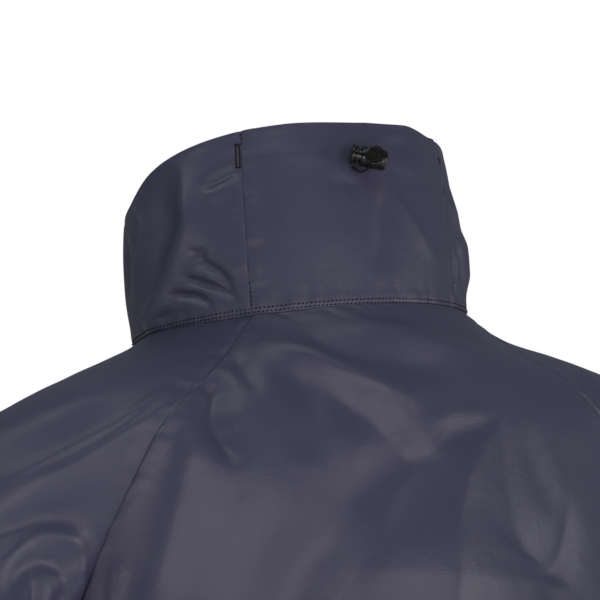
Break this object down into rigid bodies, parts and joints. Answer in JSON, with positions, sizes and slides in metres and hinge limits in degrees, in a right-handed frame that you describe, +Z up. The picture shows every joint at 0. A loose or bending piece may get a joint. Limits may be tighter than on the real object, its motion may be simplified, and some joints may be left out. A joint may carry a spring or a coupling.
{
  "type": "windbreaker",
  "caption": "Light woven jacket with a tall stand collar, raglan sleeves, a full front zip and a sprung cord lock at the back of the collar, filled out as worn.",
  "frame": {"origin": "on the jacket's centre plane, where the line between the two side neck points meets it: the place where the worn jacket is carried by a wearer's shoulders", "axes": "+Z up, -Y out of the front with the zip, +Y out of the back, +X to the wearer's left"},
  "size_m": [0.736, 0.2544, 0.8202],
  "materials": {
    "shell_cloth": "fine woven nylon with a faint ripstop grid and a soft sheen",
    "zip_tape": "matt woven tape",
    "zip_coil": "matt nylon coil",
    "zip_metal": "black enamel",
    "lock_plastic": "satin black moulded plastic",
    "cord": "round black elastic cord"
  },
  "bodies": {
    "jacket": {"back_panel": "shell_cloth", "front_left": "shell_cloth", "front_right": "shell_cloth", "sleeve_left": "shell_cloth", "sleeve_right": "shell_cloth", "cuff_left": "shell_cloth", "cuff_right": "shell_cloth", "collar_back": "shell_cloth", "collar_side_left": "shell_cloth", "collar_side_right": "shell_cloth", "zip_tape_left": "zip_tape", "zip_tape_right": "zip_tape", "zip_chain": "zip_coil", "zip_slider": "zip_metal", "zip_box": "zip_coil", "lock_barrel": "lock_plastic", "lock_cord": "cord"},
    "pull": {"zip_pull": "zip_metal"},
    "plunger": {"lock_plunger": "lock_plastic"}
  },
  "joints": [
    {"name": "zip_pull_hinge", "type": "hinge", "parent": "jacket", "child": "pull", "pos_m": [0, -0.08296, 0.03344], "axis": [-1, 0, 0], "range_deg": [0, 180]},
    {"name": "lock_plunger_slide", "type": "slide", "parent": "jacket", "child": "plunger", "axis": [-0.8483, 0.49, -0.2004], "range_m": [0, 0.0015], "stiffness_N_per_m": 600, "springref_m": -0.002}
  ]
}
